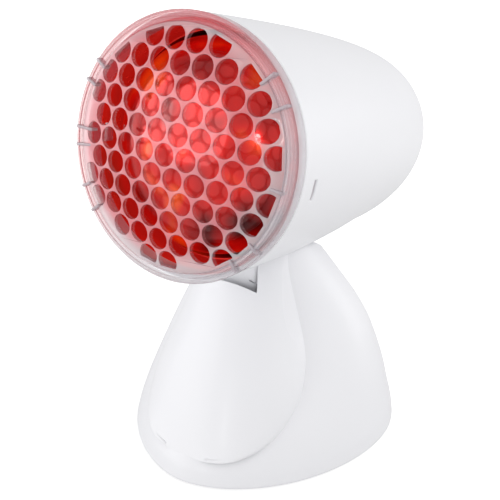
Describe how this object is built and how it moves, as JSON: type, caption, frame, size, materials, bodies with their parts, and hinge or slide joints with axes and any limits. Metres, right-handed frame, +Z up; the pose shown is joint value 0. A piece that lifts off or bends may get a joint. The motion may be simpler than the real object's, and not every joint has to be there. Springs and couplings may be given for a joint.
{
  "type": "infrared heat therapy lamp",
  "caption": "Table-top infrared lamp: a long white tilting head with a clear perforated cover over a red reflector bulb, on an oval foot with a smooth front panel.",
  "frame": {"origin": "on the table surface, under the middle of the lamp's box", "axes": "+Z up, -Y the way the perforated cover faces, +X to the right as seen from the front"},
  "size_m": [0.1432, 0.2217, 0.215],
  "materials": {
    "white_shell": "moulded, soft gloss",
    "clear_cover": "clear moulded polycarbonate, polished",
    "reflector_alu": "spun, satin",
    "ruby_glass": "ruby glass, polished outside",
    "cap_metal": "rolled thread, satin",
    "black_glass": "fused insulator",
    "solder": "dull",
    "tungsten": "drawn wire",
    "porcelain": "glazed",
    "brass_part": "stamped",
    "zinc_steel": "zinc plated",
    "ballast_steel": "primed",
    "dark_plastic": "fine grain",
    "nylon_block": "natural",
    "washer_fibre": "pressed fibre",
    "lead_silicone": "silicone sleeve",
    "foot_rubber": "matt",
    "base_plastic": "fine grain"
  },
  "bodies": {
    "foot": {"hinge_frame": "zinc_steel", "hinge_pin": "zinc_steel", "pin_clip": "zinc_steel", "pin_washers": "washer_fibre", "detent_spring": "zinc_steel", "spring_screws": "zinc_steel", "front_panel": "white_shell", "rear_shell": "white_shell", "base_plate": "base_plastic", "ballast_plate": "ballast_steel", "rubber_feet": "foot_rubber", "base_screws": "zinc_steel", "frame_screws": "zinc_steel", "foot_terminal": "nylon_block", "foot_leads": "lead_silicone", "lead_clamp": "nylon_block", "clamp_screws": "zinc_steel", "switch_frame": "dark_plastic", "switch_body": "dark_plastic", "cord_grommet": "dark_plastic"},
    "head": {"front_cover": "clear_cover", "head_shell": "white_shell", "heat_shield": "reflector_alu", "bulb_glass": "ruby_glass", "bulb_cap": "cap_metal", "bulb_insulator": "black_glass", "bulb_contact": "solder", "bulb_filament": "tungsten", "lamp_holder": "porcelain", "holder_sleeve": "brass_part", "holder_contact": "brass_part", "holder_screws": "zinc_steel", "holder_bracket": "zinc_steel", "bracket_screws": "zinc_steel", "thermal_cutout": "dark_plastic", "head_terminal": "nylon_block", "head_leads": "lead_silicone", "detent_wheel": "zinc_steel"},
    "rocker": {"switch_rocker": "dark_plastic"}
  },
  "joints": [
    {"name": "head_tilt", "type": "hinge", "parent": "foot", "child": "head", "pos_m": [0, -0.0146, 0.082], "axis": [-1, 0, 0], "range_deg": [0, 15]},
    {"name": "switch_rock", "type": "hinge", "parent": "foot", "child": "rocker", "pos_m": [0, 0.04059, 0.03338], "axis": [-1, 0, 0], "range_deg": [0, 16]}
  ]
}
